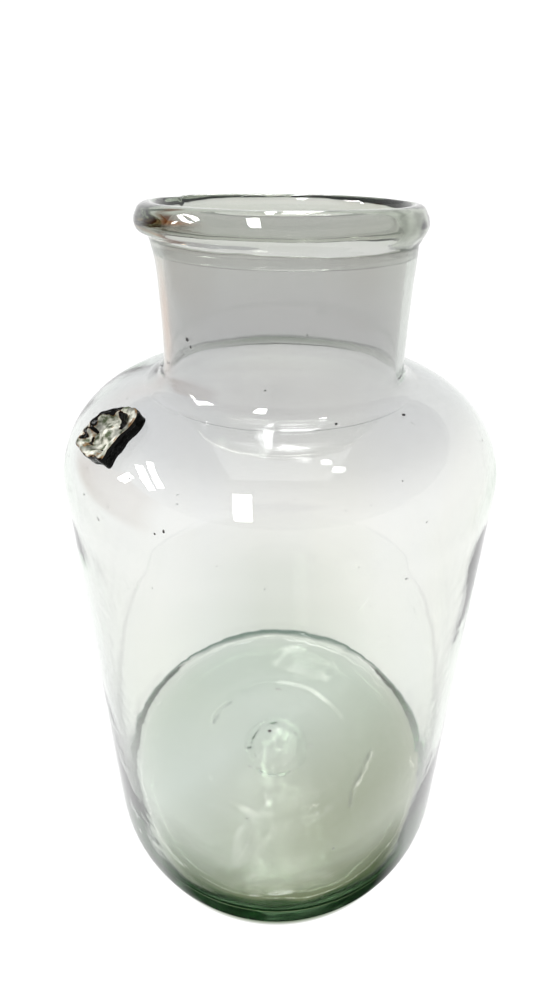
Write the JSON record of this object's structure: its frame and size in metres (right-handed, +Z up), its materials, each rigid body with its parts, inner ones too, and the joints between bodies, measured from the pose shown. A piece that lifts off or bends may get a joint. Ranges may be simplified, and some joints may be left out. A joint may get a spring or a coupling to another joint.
{
  "type": "specimen jar",
  "caption": "Wide-mouthed cylindrical hand-blown glass storage jar with a round shoulder, a short neck, a rolled lip and an applied shoulder seal.",
  "frame": {"origin": "centre of the foot ring, on the plane that the jar stands on", "axes": "+Z up along the jar's axis, towards the mouth; the shoulder seal is at the front left, towards -X and -Y"},
  "size_m": [0.2335, 0.2336, 0.4],
  "materials": {
    "jar_glass": "clear blown glass with a faint green tint, fire-polished, slightly wavy, with seeds and small stones",
    "lip_glass": "the same glass, applied as a thick trail and rounded in the fire, grey-green where it is thick",
    "seal_glass": "thick dark olive glass, glossy, pressed while soft",
    "scar_glass": "thick green glass, broken off and left rough"
  },
  "bodies": {
    "root": {"jar_body": "jar_glass", "lip_ring": "lip_glass", "shoulder_seal": "seal_glass", "pontil_scar": "scar_glass"}
  },
  "joints": []
}
